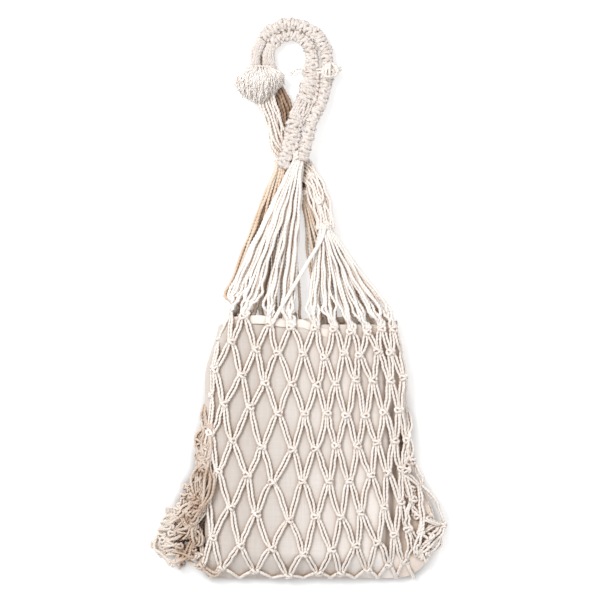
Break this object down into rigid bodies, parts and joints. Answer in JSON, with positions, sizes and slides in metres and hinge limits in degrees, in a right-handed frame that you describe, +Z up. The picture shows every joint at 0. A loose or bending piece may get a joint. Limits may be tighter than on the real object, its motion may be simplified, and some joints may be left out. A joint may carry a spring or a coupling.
{
  "type": "mesh produce bag",
  "caption": "Knotted cotton net bag over a woven cloth pouch, with twisted cord handles knotted together, lying flat.",
  "frame": {"origin": "under the middle of the whole bag, on the table it lies on", "axes": "+X across the bag, +Y from the bottom seam to the handles, +Z up from the table, out of the front of the net"},
  "size_m": [0.321, 0.6155, 0.0302],
  "materials": {
    "net_cord": "undyed twisted cotton cord, matt",
    "cloth": "undyed plain-weave cotton, matt"
  },
  "bodies": {
    "bag": {"liner_front_panel": "cloth", "liner_back_panel": "cloth", "liner_mouth_hem": "cloth", "net_front": "net_cord", "net_back": "net_cord", "net_left_side": "net_cord", "net_right_side": "net_cord", "net_bottom": "net_cord", "front_mouth_knots": "net_cord", "back_mouth_knots": "net_cord"},
    "handles": {"front_left_cords": "net_cord", "front_right_cords": "net_cord", "back_left_cords": "net_cord", "back_right_cords": "net_cord", "front_left_gather": "net_cord", "front_right_gather": "net_cord", "back_left_gather": "net_cord", "back_right_gather": "net_cord", "outer_strap_end": "net_cord", "inner_strap_end": "net_cord", "front_loose_leg_end": "net_cord", "back_loose_leg_end": "net_cord"},
    "grip": {"outer_strap": "net_cord", "inner_strap": "net_cord", "front_loose_leg": "net_cord", "back_loose_leg": "net_cord", "big_handle_knot": "net_cord", "big_knot_frays": "net_cord", "small_handle_knot": "net_cord"}
  },
  "joints": [
    {"name": "handle_lift", "type": "hinge", "parent": "bag", "child": "handles", "pos_m": [0, -0.014, 0.031], "axis": [1, 0, 0], "range_deg": [0, 90]},
    {"name": "grip_fold", "type": "hinge", "parent": "handles", "child": "grip", "pos_m": [0, 0.172, 0.024], "axis": [1, 0, 0], "range_deg": [0, 90]}
  ]
}
